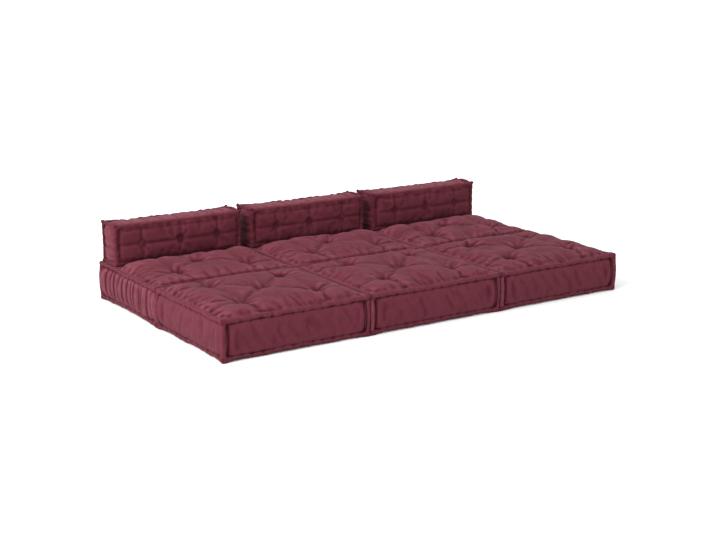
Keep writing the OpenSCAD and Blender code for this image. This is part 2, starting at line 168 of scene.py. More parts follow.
coverCotton = brushedCotton("brushed_cotton_cover", cottonLook)
rollCotton = brushedCotton("brushed_cotton_rolls", cottonLook, 0.98)
tuftCotton = brushedCotton("brushed_cotton_tufts", cottonLook, 0.84)
sewingThread = waxedThread("sewing_thread", threadLook)
print("finishes made")


# mesh helpers

def newMesh(name, points, faces):
    mesh = bpy.data.meshes.new(name)
    mesh.from_pydata([tuple(p) for p in points], [], faces)
    return mesh


def writePoints(mesh, name, values):
    # a number or a vector at each point
    values = np.asarray(values, dtype=np.float32)
    kind, field = ("FLOAT", "value") if values.ndim == 1 else ("FLOAT_VECTOR", "vector")
    attribute = mesh.attributes.get(name) or mesh.attributes.new(name, kind, "POINT")
    attribute.data.foreach_set(field, values.ravel())


def readPoints(mesh, name):
    values = np.zeros(len(mesh.vertices), dtype=np.float32)
    mesh.attributes[name].data.foreach_get("value", values)
    return values


def newPiece(name, points, faces, material, attributes=None):
    mesh = newMesh(name, points, faces)
    for key, values in (attributes or {}).items():
        writePoints(mesh, key, values)
    mesh.materials.append(material)
    mesh.shade_smooth()
    piece = bpy.data.objects.new(name, mesh)
    bpy.context.scene.collection.objects.link(piece)
    return piece


def pointsOf(mesh, kind="co"):
    points = np.empty(len(mesh.vertices) * 3)
    mesh.vertices.foreach_get(kind, points)
    return points.reshape(-1, 3)


def movePoints(mesh, points):
    mesh.vertices.foreach_set("co", np.ascontiguousarray(points).ravel())
    mesh.update()


def applyAll(piece):
    graph = bpy.context.evaluated_depsgraph_get()
    made = bpy.data.meshes.new_from_object(piece.evaluated_get(graph), depsgraph=graph)
    piece.modifiers.clear()
    old = piece.data
    piece.data = made
    made.name = piece.name
    if old.users == 0:
        bpy.data.meshes.remove(old)


def edgesOf(mesh):
    edges = np.empty(len(mesh.edges) * 2, dtype=np.int64)
    mesh.edges.foreach_get("vertices", edges)
    return edges.reshape(-1, 2)


def spread(values, edges, rounds):
    # each point takes the mean of its neighbours, a number of times over
    count = np.bincount(edges.ravel(), minlength=len(values)).astype(float)
    count = np.maximum(count, 1)
    for _ in range(rounds):
        total = np.zeros_like(values)
        np.add.at(total, edges[:, 0], values[edges[:, 1]])
        np.add.at(total, edges[:, 1], values[edges[:, 0]])
        mean = total / (count if values.ndim == 1 else count[:, None])
        values = 0.5 * values + 0.5 * mean
    return values


def markFolds(piece, gain, rounds=3):
    # crests count up as painted highlight and valleys count down as painted shade
    mesh = piece.data
    points, edges = pointsOf(mesh), edgesOf(mesh)
    height = ((points - spread(points, edges, rounds)) * pointsOf(mesh, "normal")).sum(1)
    height = spread(height, edges, 1) * gain
    writePoints(mesh, "fold", np.clip(height + readPoints(mesh, "fold"), -1, 1))


def between(first, second):
    # quads between two closed loops of point numbers
    return list(zip(first, second, np.roll(second, -1), np.roll(first, -1)))


def sidesOf(kind):
    # number, axis, way out and distance from the middle of each side
    w, d, _ = kind["size"]
    return [(3, 0, -1, w / 2), (1, 0, 1, w / 2), (0, 1, -1, d / 2), (2, 1, 1, d / 2)]


def capSides(piece, cushion, cap=0.22, seam=0.022, skin=0.018):
    # a plain side gets no painted highlight on the crests beside its seams
    values = readPoints(piece.data, "fold")
    here = local(pointsOf(piece.data), cushion)
    level = (here[:, 2] > seam) & (here[:, 2] < cushion["kind"]["size"][2] - seam)
    out = np.array([way * here[:, axis] - half for _, axis, way, half in sorted(sidesOf(cushion["kind"]))])
    plain = np.isin(out.argmax(0), list(cushion["pleats"]), invert=True) & (out.max(0) > -skin) & level
    writePoints(piece.data, "fold", np.where(plain, np.minimum(values, cap), values))


def clipSides(points, cushion, gap=0.0, beyond=0.009):
    # short of a neighbour by the gap, and not far beyond a free side
    for side, axis, way, half in sidesOf(cushion["kind"]):
        reach = half + beyond if side in cushion["free"] else half - gap
        points[:, axis] = way * np.minimum(way * points[:, axis], reach)


def bell(distance, reach):
    return np.exp(-(distance / reach) ** 2)


def tone(distance, change, reach):
    # a soft line or spot, darker or lighter by the change
    return change * bell(distance, reach)


def toCorner(points, halfX, halfY):
    return np.hypot(halfX - np.abs(points[:, 0]), halfY - np.abs(points[:, 1]))


def rippler(seed, count, shortest, longest):
    # a fixed random sum of plane waves over two coordinates, about -1 to 1
    draw = np.random.default_rng(seed)
    lengths = draw.uniform(shortest, longest, count)
    turn = draw.uniform(0, 2 * math.pi, count)
    phase = draw.uniform(0, 2 * math.pi, count)
    size = lengths / lengths.sum() * 1.8

    def ripple(x, y):
        total = np.zeros(np.broadcast(x, y).shape)
        for wave in range(count):
            along = np.cos(turn[wave]) * x + np.sin(turn[wave]) * y
            total = total + size[wave] * np.sin(2 * math.pi * along / lengths[wave] + phase[wave])
        return total
    return ripple


def toSegment(x, y, start, end):
    # distance to a straight line between two points
    run = np.array(end) - np.array(start)
    t = ((x - start[0]) * run[0] + (y - start[1]) * run[1]) / (run @ run)
    t = np.clip(t, 0, 1)
    return np.hypot(x - start[0] - t * run[0], y - start[1] - t * run[1])


# what a maker would change on each kind of cushion

tuftX, tuftY = 0.175, 0.150  # of a seat's outer tufts


def seatCreases(x, y):
    # start, end, depth and reach; from each outer tuft to the middle one, front to rear, and to the seams
    made = [((sx * x, sy * y), (0, 0), 0.0078, 0.029) for sy in (-1, 1) for sx in (-1, 1)]
    made += [((sx * x, -y), (sx * x, y), 0.0056, 0.030) for sx in (-1, 1)]
    for sy in (-1, 1):
        for endX, endY in ((0.330, 0.170), (0.160, 0.280)):
            made += [((sx * x, sy * y), (sx * endX, sy * endY), 0.0050, 0.022) for sx in (-1, 1)]
    return made


seatCushion = {
    "size": (0.700, 0.600, 0.180),
    "rollWidth": 0.025,
    "rollHeight": 0.0206,
    "cornerRollWidth": 0.0196,
    "turnRadius": 0.008,
    "stitchDip": 0.0034,
    "dipSides": (0.30, 0.55, 0.30, 1.0),   # front, right, rear, left, where the side is free
    "joinedDip": 0.12,      # and where it meets another seat
    "rowDip": 0.0004,
    "seamShade": 0.20,
    "crown": 0.0240,
    "swellPower": (7, 7),
    "tufts": [(0, 0)] + [(sx * tuftX, sy * tuftY) for sy in (-1, 1) for sx in (-1, 1)],
    "tuftDepth": 0.0215,
    "tuftReach": 0.042,
    "knot": 0.0086,
    "pucker": 0.0016,
    "creases": seatCreases(tuftX, tuftY),
    "lumps": 0.0072,
    "grid": 0.0088,
    "foldShade": (1100, 270),
    "sideRows": 17,
    "sideLumps": 0.0015,
    "sideGroove": 0.0130,
    "sideBulge": 0.0100,
    "sideRoom": 0.0034,
    "bowShare": 1.4,
    "seamWidth": 0.0120,
    "flush": 0.62,          # how far the left and right sides draw in at the corner rolls
    "stitchPitch": 0.046,
    "pressure": 2.6,
    "slack": -0.014,
    "cap": 0.012,
    "fill": 0.72,
}

backCushion = {
    "size": (0.640, 0.190, 0.150),
    "rollWidth": 0.020,
    "rollHeight": 0.0176,
    "cornerRollWidth": 0.0168,
    "turnRadius": 0.008,
    "stitchDip": 0.0030,
    "dipSides": (0.40, 0.50, 0.15, 0.50),
    "rowDip": 0.0018,
    "seamShade": 0.60,
    "crown": 0.0100,
    "swellPower": (7, 3),
    "tufts": [(-0.190, 0), (0, 0), (0.190, 0)],
    "tuftDepth": 0.0092,
    "tuftReach": 0.021,
    "knot": 0.0052,
    "pucker": 0.0003,
    "creases": [
        ((-0.300, 0.002), (-0.190, 0), 0.0046, 0.0075), ((-0.190, 0), (0, 0), 0.0052, 0.0075),
        ((0, 0), (0.190, 0), 0.0052, 0.0075), ((0.190, 0), (0.300, 0.002), 0.0046, 0.0075),
        ((-0.190, 0), (-0.193, 0.080), 0.0042, 0.0070), ((-0.190, 0), (-0.188, -0.060), 0.0020, 0.0070),
        ((0, 0), (0.002, 0.080), 0.0042, 0.0070), ((0, 0), (-0.002, -0.060), 0.0020, 0.0070),
        ((0.190, 0), (0.193, 0.080), 0.0042, 0.0070), ((0.190, 0), (0.188, -0.060), 0.0020, 0.0070),
    ],
    "lumps": 0.0026,
    "grid": 0.0082,
    "foldShade": (620, 90),
    "sideRows": 15,
    "sideLumps": 0.0024,
    "sideGroove": 0.0096,
    "sideBulge": 0.0078,
    "sideRoom": 0.0080,
    "bowShare": 1.5,
    "seamWidth": 0.0100,
    "flush": 0.85,
    "stitchPitch": 0.042,
    "pressure": 1.2,
    "slack": -0.016,
    "cap": 0.0060,
    "fill": 0.8,
}


def placed(cushion, points):
    return cushion["put"](points, cushion["origin"])


def isRear(cushion):
    return cushion["name"].startswith("rear")


def standing(points, origin):
    # a back is made lying on its rear face, then stands up with its face to the front
    x, y, z = points.T
    return np.stack([origin[0] + x, origin[1] - z, origin[2] + y], 1)


def lying(points, origin):
    return points + np.array(origin)


# where the cushions rest, as in the frame
layout = {
    "columns": {"left": -0.7004, "centre": 0, "right": 0.7004},
    "rows": {"front": -0.3002, "rear": 0.3002},
    "backShift": -0.015,
    "backRear": 0.5882,
    "backMiddle": 0.2754,
}


# sides count 0 front, 1 right, 2 rear, 3 left of a cushion that lies flat; a back stands on its side 0
# pleats: the number of folds and their depth on a side; loose: how far the filling blows a side out
# free: the sides with room beyond them
def seatCushionAt(row, column, seed, **more):
    name = row + "_" + column
    origin = (layout["columns"][column], layout["rows"][row], 0)
    return {"name": name, "body": "seat_" + name, "kind": seatCushion, "put": lying, "origin": origin,
            "seed": seed, **more}


def backCushionAt(column, seed, topFolds):
    name = "back_" + column
    origin = (layout["columns"][column] + layout["backShift"], layout["backRear"], layout["backMiddle"])
    return {"name": name, "body": name, "kind": backCushion, "put": standing, "origin": origin,
            "seed": seed, "free": (1, 2, 3),
            "pleats": {1: (5, 0.0046), 2: (topFolds, 0.0052), 3: (5, 0.0052)},
            "loose": {1: 0.8, 2: 1.0, 3: 0.8}}


cushions = [
    seatCushionAt("front", "left", 11, free=(0, 3), pleats={}, loose={}),
    seatCushionAt("front", "centre", 23, free=(0,), pleats={}, loose={}),
    seatCushionAt("front", "right", 37, free=(0, 1), pleats={1: (12, 0.0030)}, loose={}),
    seatCushionAt("rear", "left", 41, free=(2, 3), pleats={2: (14, 0.0045), 3: (14, 0.0105)},
                  loose={2: 0.8, 3: 0.9}, bulge={3: 0.0055}, hump=0.0120, rough=1.4),
    seatCushionAt("rear", "centre", 53, free=(2,), pleats={2: (15, 0.0045)}, loose={2: 0.8},
                  hump=0.0120, rough=1.4),
    seatCushionAt("rear", "right", 67, free=(1, 2), pleats={1: (13, 0.0050), 2: (14, 0.0045)},
                  loose={1: 0.8, 2: 0.8}, hump=0.0120, rough=1.4),
    backCushionAt("left", 71, 12),
    backCushionAt("centre", 83, 13),
    backCushionAt("right", 97, 12),
]


# the rolls' routes, which the covers follow too

rollSettings = {
    "step": 0.0055,
    "around": 18,
    "pinch": 0.26,          # how deep a stitch bites, as a share of the roll
    "bite": 0.0085,
    "wander": 0.0014,
    "sway": 0.0024,
    "voxel": 0.0040,
    "earLength": 0.008,
    "earWidth": 0.0098,     # both on a roll of this radius
    "earRoll": 0.0125,
    "earReach": 0.0034,     # past the cushion's own box, where there is room
    "bow": 0.0048,
    "endBelly": 0.0050,
    "cornerHold": 0.045,    # how far from a corner the wander dies away
    "calm": 0.55,           # how much less a roll wanders against another seat
    "pressed": 0.75,        # and how much less it is pinched there
    "skin": 0.0007,         # what the cloth adds
    "gather": 0.0012,       # and its fine gathers
    "underBack": 0.1802,    # top of a roll that carries a back
}


def bySide(outs, values):
    # for each way out, the value of the side that it points to
    front, right, rear, left = values
    return np.where(np.abs(outs[:, 0]) > 0.7, np.where(outs[:, 0] > 0, right, left),
                    np.where(outs[:, 1] > 0, rear, front))


def roundedPath(halfX, halfY, radius, step):
    # counter-clockwise from the front right corner, with the outward direction at each point
    points, outs = [], []
    middles = [np.array([sx * (halfX - radius), sy * (halfY - radius)])
               for sx, sy in ((1, -1), (1, 1), (-1, 1), (-1, -1))]
    for index, middle in enumerate(middles):
        angles = [math.radians(90 * (index - 1) + 90 * k / 6) for k in range(7)]
        *turn, ahead = [np.array([math.cos(angle), math.sin(angle)]) for angle in angles]
        first = middle + radius * ahead
        last = middles[(index + 1) % 4] + radius * ahead
        count = max(2, int(np.linalg.norm(last - first) / step))
        points += [middle + radius * out for out in turn]
        points += [first + (last - first) * k / count for k in range(count)]
        outs += turn + [ahead] * count
    points, outs = np.array(points), np.array(outs)
    run = np.concatenate([[0], np.cumsum(np.linalg.norm(np.diff(points, axis=0), axis=1))])
    total = run[-1] + np.linalg.norm(points[0] - points[-1])
    return points, outs, run, total


def stitchMarks(kind):
    # running length of each stitch round a roll, from the same start as roundedPath
    w, d, _ = kind["size"]
    r, radius = kind["rollWidth"] / 2, kind["turnRadius"]
    straightX, straightY = w - 2 * r - 2 * radius, d - 2 * r - 2 * radius
    turn = math.pi / 2 * radius
    marks, at = [], turn
    for straight in (straightY, straightX, straightY, straightX):
        count = int(round(straight / kind["stitchPitch"]))
        marks += [at + (k + 0.5) * straight / count for k in range(count)]
        at += straight + turn
    return np.array(marks)


def rollPath(cushion, upper):
    # middle line of a roll, the way out at each point, the running length and the whole length
    kind, settings = cushion["kind"], rollSettings
    w, d, h = kind["size"]
    r, tall = kind["rollWidth"] / 2, kind["rollHeight"] / 2
    points, outs, run, total = roundedPath(w / 2 - r, d / 2 - r, kind["turnRadius"], settings["step"])
    draw = np.random.default_rng(cushion["seed"] + (200 if upper else 201))
    inward, lift = np.zeros(len(run)), np.zeros(len(run))
    for size, low, high in ((settings["wander"], 20, 46), (settings["sway"], 5, 17)):
        for target in (inward, lift):
            waves = np.zeros(len(run))
            for _ in range(6):
                turns = 2 * math.pi * int(draw.integers(low, high)) * run / total
                waves += draw.uniform(0.4, 1) * np.sin(turns + draw.uniform(0, 6.28))
            target += size * (waves / 2.6 - 1.0)
    steady = 1 - bell(toCorner(points, w / 2 - r, d / 2 - r), settings["cornerHold"])
    calm = 1 - settings["calm"] * meets(cushion, outs)
    inward, lift = 0.75 * inward * steady * calm, lift * steady * calm
    if cushion["put"] is standing:
        inward = np.where(outs[:, 1] < -0.7, 0, inward)  # it rests on the seat
        belly = np.clip(1 - (points[:, 1] / (d / 2)) ** 2, 0, 1)
        full = 0.35 * inward + settings["endBelly"] * belly  # the ends stand out a little
        inward = np.where(np.abs(outs[:, 0]) > 0.7, full, inward)
    elif upper and isRear(cushion):
        lift = np.where(points[:, 1] > 0.12, 0, lift)  # a back rests on it
    level = h - tall + lift if upper else tall - lift * (1.5 if cushion["put"] is lying else 1)
    centres = np.column_stack([points + outs * inward[:, None], level])
    return centres, outs, run, total


def meets(cushion, outs):
    # 1 where a seat's roll is pressed against another seat's
    alone = cushion["kind"] is backCushion
    return bySide(outs, [0.0 if alone or side in cushion["free"] else 1.0 for side in range(4)])


def nearRoll(cushion, x, y, upper):
    # the place along a roll that is nearest, as an index, and how far off it is
    centres = rollPath(cushion, upper)[0]
    index, away = np.zeros(len(x), dtype=int), np.zeros(len(x))
    for start in range(0, len(x), 4000):
        part = slice(start, start + 4000)
        gaps = np.hypot(x[part, None] - centres[:, 0], y[part, None] - centres[:, 1])
        index[part] = gaps.argmin(1)
        away[part] = gaps.min(1)
    return index, away


def stitchDips(cushion):
    # where the inner row of stitches goes down into a face, and how far
    kind = cushion["kind"]
    w, d, _ = kind["size"]
    r = kind["rollWidth"] / 2
    points, outs, run, _ = roundedPath(w / 2 - r, d / 2 - r, kind["turnRadius"], 0.002)
    nearest = [int(np.argmin(np.abs(run - mark))) for mark in stitchMarks(kind)]
    shares = list(kind["dipSides"])
    if kind is seatCushion:
        for side in set(range(4)) - set(cushion["free"]):
            shares[side] = kind["joinedDip"]
    places = points[nearest] - outs[nearest] * (r + 0.0020)
    return np.column_stack([places, bySide(outs, shares)[nearest]])


def toTuft(kind, x, y):
    return np.min([np.hypot(x - tx, y - ty) for tx, ty in kind["tufts"]], axis=0)


def freeCorner(cushion, sx, sy):
    # is there room beyond this corner, sideways and to the front or rear
    free = cushion["free"]
    return (1 if sx > 0 else 3) in free, (2 if sy > 0 else 0) in free


# covers

clearOfFloor = {"cover": 0.0004, "rolls": 0.0003, "ears": 0.0006, "threads": 0.0003}


def faceHalf(kind):
    # the faces reach over the rolls to just inside their crests
    w, d, _ = kind["size"]
    inset = 0.56 * kind["rollWidth"]
    return w / 2 - inset, d / 2 - inset


def faceHeight(cushion, x, y, upper=True):
    # height of a face, measured from the other one
    kind = cushion["kind"]
    h, roll, tall = kind["size"][2], kind["rollWidth"], kind["rollHeight"]
    draw = np.random.default_rng(cushion["seed"] + (7 if upper else 8))
    halfX, halfY = faceHalf(kind)
    powerX, powerY = kind["swellPower"]
    swell = np.clip((1 - np.abs(x / halfX) ** powerX) * (1 - np.abs(y / halfY) ** powerY), 0, 1)
    ripple = rippler(cushion["seed"] + (0 if upper else 5), 9, 0.12, 0.32)
    lumps = kind["lumps"] * cushion.get("rough", 1)
    index, away = nearRoll(cushion, x, y, upper)
    level = rollPath(cushion, upper)[0][index, 2]
    sag = level - (h - tall / 2) if upper else tall / 2 - level
    z = h - 0.0008 + sag * bell(away, 0.022) + kind["crown"] * swell + lumps * ripple(x, y) * np.sqrt(swell)
    if upper and "hump" in cushion:  # the filling that a back pushes forward
        z = z + cushion["hump"] * (bell(y - 0.045, 0.055) - 0.7 * bell(y - 0.140, 0.030)) * np.sqrt(swell)
    for start, end, depth, reach in kind["creases"]:
        z = z - depth * bell(toSegment(x, y, start, end), reach) * np.clip(swell * 3, 0, 1)
    for tx, ty in kind["tufts"]:  # the cloth gathers towards each tuft
        off, turn = np.hypot(x - tx, y - ty), np.arctan2(y - ty, x - tx)
        rays = np.cos(7 * turn + draw.uniform(0, 6.28)) + 0.6 * np.cos(11 * turn + draw.uniform(0, 6.28))
        z = z + kind["pucker"] * rays * bell(off - 0.036, 0.026)
    bottom = h + kind["crown"] - kind["tuftDepth"]
    nearTuft = bell(np.maximum(toTuft(kind, x, y) - 0.010, 0), kind["tuftReach"] * 0.55)
    z = z + nearTuft * (bottom - z)
    z = z - kind["rowDip"] * bell(away - roll / 2 - 0.0020, 0.0065)
    for dipX, dipY, share in stitchDips(cushion):
        dip = kind["stitchDip"] * share * draw.uniform(0.6, 1.25)
        z = z - dip * bell(np.hypot(x - dipX, y - dipY), 0.0090)
    return np.minimum(z, footLimit(y)) if upper and isRear(cushion) else z


def footLimit(y):
    # a back's foot presses the rear of its seat flat, and the seat swells up in front of it
    return 0.1796 + np.maximum(0.1310 - y, 0) * 1.5


def borderOrder(nx, ny):
    order = [(i, 0) for i in range(nx)]
    order += [(nx - 1, j) for j in range(1, ny)]
    order += [(i, ny - 1) for i in range(nx - 2, -1, -1)]
    order += [(0, j) for j in range(ny - 2, 0, -1)]
    return order


def ringAt(kind, net, inset, radius):
    # the border pushed out to a rectangle with round corners; gives points and outward directions
    size = np.array(kind["size"][:2]) / 2 - inset
    p = net.border * (size / net.half)
    q = np.clip(p, radius - size, size - radius)
    d = p - q
    out = d / np.maximum(np.linalg.norm(d, axis=1), 1e-9)[:, None]
    return q + out * radius, out


def atHeight(points, z):
    return np.column_stack([points, np.full(len(points), z)])


def pleatRidges(along, v, length, folds, depth, seed):
    # round ridges between sharp valleys, the valleys bowed outward at mid height; and how deep in a valley
    draw = np.random.default_rng(seed)
    marks = (np.arange(folds + 1) + draw.uniform(-0.36, 0.36, folds + 1)) / folds * length - length / 2
    marks = marks + 0.009 * math.sin(math.pi * v) * marks / (length / 2)
    middle, lean = draw.uniform(0.35, 0.65, folds), draw.uniform(0.3, 0.9, folds)
    depths = depth * draw.uniform(0.55, 1.25, folds) * (1 - lean * np.abs(v - middle))
    total, valley = np.zeros_like(along), np.zeros_like(along)
    for left, right, deep in zip(marks, marks[1:], depths):
        inside = (along >= left) & (along < right)
        t = (along[inside] - left) / (right - left)
        total[inside] = deep * np.sin(math.pi * t) ** 0.6
        valley[inside] = (1 - np.sin(math.pi * t) ** 0.6) ** 2 * min(1, deep / 0.006)
    return total - 0.7 * depth, valley


def coverNet(cushion):
    # grids of the two faces, and their border from the front left corner
    kind = cushion["kind"]
    w, d, h = kind["size"]
    halfX, halfY = faceHalf(kind)
    nx, ny = [int(round(2 * half / kind["grid"])) + 1 for half in (halfX, halfY)]
    xs, ys = np.linspace(-halfX, halfX, nx), np.linspace(-halfY, halfY, ny)
    gridY, gridX = [grid.ravel() for grid in np.meshgrid(ys, xs, indexing="ij")]
    top = np.stack([gridX, gridY, faceHeight(cushion, gridX, gridY)], 1)
    if kind is seatCushion:  # flat on the floor, up at its edge and round the tufts
        under = tone(np.minimum(halfX - np.abs(gridX), halfY - np.abs(gridY)), 0.0035, 0.008)
        under = under + clearOfFloor["cover"]
        under = under + 0.0046 * bell(np.maximum(toTuft(kind, gridX, gridY) - 0.012, 0), 0.007)
    else:
        under = h - faceHeight(cushion, gridX, gridY, False)
    bottom = np.stack([gridX, gridY, under], 1)
    for face in (top, bottom):  # the corners draw back behind the ears
        pull = 0.004 * bell(toCorner(face, halfX, halfY), 0.012)
        face[:, :2] -= np.sign(face[:, :2]) * pull[:, None]
    order = borderOrder(nx, ny)
    border = np.array([(xs[i], ys[j]) for i, j in order])
    side = np.repeat(range(4), [nx - 1, ny - 1, nx - 1, ny - 1])
    length = np.where(side % 2 == 0, w, d)
    along = np.where(side % 2 == 0, border[:, 0] / halfX * w / 2, border[:, 1] / halfY * d / 2)
    fromPost = length / 2 - np.abs(along) - kind["cornerRollWidth"] - 0.003
    seam = kind["rollHeight"] * 1.02
    return SimpleNamespace(nx=nx, ny=ny, half=np.array([halfX, halfY]), top=top, bottom=bottom,
                           border=border, loop=np.array([j * nx + i for i, j in order]), side=side,
                           length=length, along=along, fromPost=fromPost, seamTop=h - seam, seamLow=seam)


sideSettings = {
    "hidden": ((0.53, 0.25), (0.53, 0), (0.54, -0.25)),   # shares of a roll, inward and up from its middle
    "stitch": (-0.0036, 0.015),      # depth, and reach down the side
    "stitchLength": 0.0085,
    "inCorner": (0.30, 0.024),       # how much flatter a side is near a corner roll, and its reach
    "drawn": 0.0015,
    "pressed": -0.0006,              # against another seat
    "backShares": (0.35, 1, 0.55, 1),  # on a seat, and below the rolls of its top
    "follow": 1.4,                   # with the bow of the corner rolls
}


def sideRings(cushion, net):
    # closed loops down the sides between those hidden in the rolls, and how deep each point is in a fold
    settings = sideSettings
    kind, side = cushion["kind"], net.side
    h, roll, tall = kind["size"][2], kind["rollWidth"], kind["rollHeight"]
    along, fromPost, high, low = net.along, net.fromPost, net.seamTop, net.seamLow
    ripple = rippler(cushion["seed"] + 9, 8, 0.07, 0.22)
    index, _ = nearRoll(cushion, net.border[:, 0], net.border[:, 1], True)
    run = rollPath(cushion, True)[2][index]
    stitched = np.max([bell(run - mark, settings["stitchLength"]) for mark in stitchMarks(kind)], axis=0)
    hidden = [(inward * roll, up * tall) for inward, up in settings["hidden"]]
    rings = [atHeight(ringAt(kind, net, inset, 0.008)[0], h - tall / 2 + rise) for inset, rise in hidden]
    valleys = []
    roomy = np.isin(side, cushion["free"])
    for row in range(kind["sideRows"]):
        v = 0.5 - 0.5 * math.cos(math.pi * row / (kind["sideRows"] - 1))
        z = high + (low - high) * v
        ring, out = ringAt(kind, net, kind["sideGroove"], 0.006)
        vertical = min(v, 1 - v) * (high - low)
        # taut just beside the seams, and rounder towards the corners of a side
        offRoll = 1 - min(vertical / kind["seamWidth"], 1)
        offPost = 1 - np.clip((fromPost + 0.003) / kind["seamWidth"], 0, 1)
        offPost = offPost * np.where(side % 2 == 1, kind["flush"], 1)
        edge = 1 - offRoll ** 2
        corner = 1 - offPost ** 2
        firm = 1 - np.minimum(offRoll ** 2 + offPost ** 2, 1)
        firm = firm - tone(np.hypot(np.maximum(fromPost, 0), vertical), *settings["inCorner"])
        drawn = settings["drawn"] * np.cos(math.pi * along / net.length) ** 2
        folds = kind["sideLumps"] * ripple(along + side * 0.9, z * 1.0)
        valley = np.zeros(len(side))
        for index, (number, depth) in cushion["pleats"].items():
            here = side == index
            ridges, valley[here] = pleatRidges(along[here], v, net.length[here][0], number, depth,
                                               cushion["seed"] + index)
            folds[here] += ridges
        valleys.append(valley * corner)
        belly = math.sin(math.pi * v)
        push = kind["sideBulge"] * firm + folds * corner * min(1, 0.3 + 0.7 * edge)
        room = np.where(roomy, kind["sideRoom"] * (0.5 + 0.5 * belly), settings["pressed"])
        push = push + room * firm - drawn * edge
        for index, extra in cushion.get("bulge", {}).items():
            push = push + np.where(side == index, extra * belly, 0) * corner
        push = push + settings["stitch"][0] * stitched * bell(vertical, settings["stitch"][1]) * corner
        if kind is backCushion:
            push = push * np.array(settings["backShares"])[side]
        follow = settings["follow"] * rollSettings["bow"] * kind["bowShare"] * belly
        push = push + np.where(roomy, follow, 0) * bell(np.maximum(fromPost, 0), 0.02)
        rings.append(atHeight(ring + out * push[:, None], z))
    rings += [atHeight(ringAt(kind, net, inset, 0.008)[0], tall / 2 - rise) for inset, rise in hidden[::-1]]
    return rings, valleys


def heldPoints(cushion, net):
    # what the sewing, the tufts, the floor and a back hold still
    kind = cushion["kind"]
    held = np.zeros(len(net.points))
    for loop in [*net.loops[:5], *net.loops[-5:]]:
        held[loop] = 1
    byPost = np.clip(1 - net.fromPost / 0.012, 0, 1) > 0.4
    byTuft = toTuft(kind, net.top[:, 0], net.top[:, 1]) < 0.0125
    for loop in net.sides:
        held[loop] = np.maximum(held[loop], byPost)
    for face in (net.upper, net.lower):
        held[face][byTuft] = 1
    if kind is seatCushion:
        held[net.lower] = 1
    else:  # half held, where it stands on the seat
        for loop in net.sides:
            foot = loop[net.side == 0]
            held[foot] = np.maximum(held[foot], 0.6)
    if isRear(cushion):
        held[net.upper][net.top[:, 1] > 0.134] = 1
    return held


# change and reach of each painted shade or painted highlight on a cover
coverTones = {
    "stitch": (-0.55, 0.0075),
    "post": (-0.55, 0.0045),
    "roll": (-0.75, 0.0046),
    "swell": (0.42, 0.070),     # painted highlight before the backs
    # painted highlight rim behind the front row
    "rim": (0.30, 0.011),
    # painted shadow line behind the front row's roll
    "line": (-2.0, 0.0095),
}


def coverShade(cushion, net):
    # painted shade beside the seams, in the stitch dips and down in the folds, and painted highlight on the
    # rear seats' humps and the backs' tops and left ends
    kind, side = cushion["kind"], net.side
    x, y = net.top[:, 0], net.top[:, 1]
    shade = np.zeros(len(net.points))
    _, away = nearRoll(cushion, x, y, True)
    face = tone(away - kind["rollWidth"] / 2 - 0.0025, -kind["seamShade"], 0.0045)
    shade[net.lower] = 0 if kind is seatCushion else face
    for loop in [*net.loops[1:5], *net.loops[-5:-1]]:
        shade[loop] = -0.4
    for dipX, dipY, share in stitchDips(cushion):
        face = np.minimum(face, share * tone(np.hypot(x - dipX, y - dipY), *coverTones["stitch"]))
    if isRear(cushion):
        # painted highlight on the hump in front of the back
        face = face + tone(y - 0.050, *coverTones["swell"]) + 0.06
        behind = net.half[1] + y  # the front row hides its roll, and the fold there gets a painted shadow line with a painted highlight rim
        face = face + tone(behind - 0.028, *coverTones["rim"])
        face = np.minimum(face, 1 + tone(behind - 0.007, *coverTones["line"]))
    shade[net.upper] = face
    # painted shade beside the corner rolls, beside the edge rolls and down in the pleat valleys
    byPost = tone(np.maximum(net.fromPost, 0), *coverTones["post"])
    byPost = byPost * np.where(side % 2 == 1, kind["flush"] ** 2, 1)
    # painted highlight for a back's top and left end
    paintedHighlight = np.where(side == 2, 0.95, np.where(side == 3, 0.35, 0))
    middle, tall = (net.seamTop + net.seamLow) / 2, net.seamTop - net.seamLow
    for loop, valley in zip(net.sides, net.valleys):
        vertical = tall / 2 - np.abs(net.points[loop, 2] - middle)
        byRoll = tone(vertical, *coverTones["roll"])
        shade[loop] = np.min([shade[loop], byPost, byRoll, -0.6 * valley], axis=0)
        if kind is backCushion:  # painted highlight on its top and its left end, which face the light
            shade[loop] += paintedHighlight * (1 - bell(vertical, 0.012)) * (1 - valley)
    return shade


def coverMesh(cushion):
    net = coverNet(cushion)
    rings, net.valleys = sideRings(cushion, net)
    nx, count = net.nx, len(net.loop)
    points = np.concatenate([net.top, *rings, net.bottom])
    ringStart = len(net.top)
    bottomStart = ringStart + count * len(rings)
    loops = [ringStart + count * k + np.arange(count) for k in range(len(rings))]
    loops = [net.loop, *loops, bottomStart + net.loop]
    net.points, net.loops, net.sides = points, loops, loops[4:-4]
    net.upper, net.lower = slice(0, ringStart), slice(bottomStart, None)
    faces = []
    for j in range(net.ny - 1):
        for i in range(nx - 1):
            a = j * nx + i
            faces.append((a, a + 1, a + nx + 1, a + nx))
            b = bottomStart + a
            faces.append((b, b + nx, b + nx + 1, b + 1))
    for above, below in zip(loops, loops[1:]):
        faces += between(above, below)

    # cloth coordinates in metres: faces in plan, sides by running length and height, each in its own patch
    cloth = np.zeros((len(points), 3))
    cloth[:, :2] = points[:, :2]
    run = np.concatenate([[0], np.cumsum(np.linalg.norm(np.diff(net.border, axis=0), axis=1))])
    for loop in loops[1:-1]:
        cloth[loop, 0] = run
        cloth[loop, 1] = points[loop, 2] + 2.0
    cloth[net.lower, 0] += 3.0

    share = np.array([cushion["loose"].get(index, 0.35) for index in range(4)])[net.side]
    cushion["give"] = np.ones(len(points))
    for loop in net.sides:
        cushion["give"][loop] = share
    held = heldPoints(cushion, net)
    return points, faces, {"cloth": cloth, "held": held, "fold": coverShade(cushion, net)}


# the covers' cloth simulation, which runs a few frames and stops

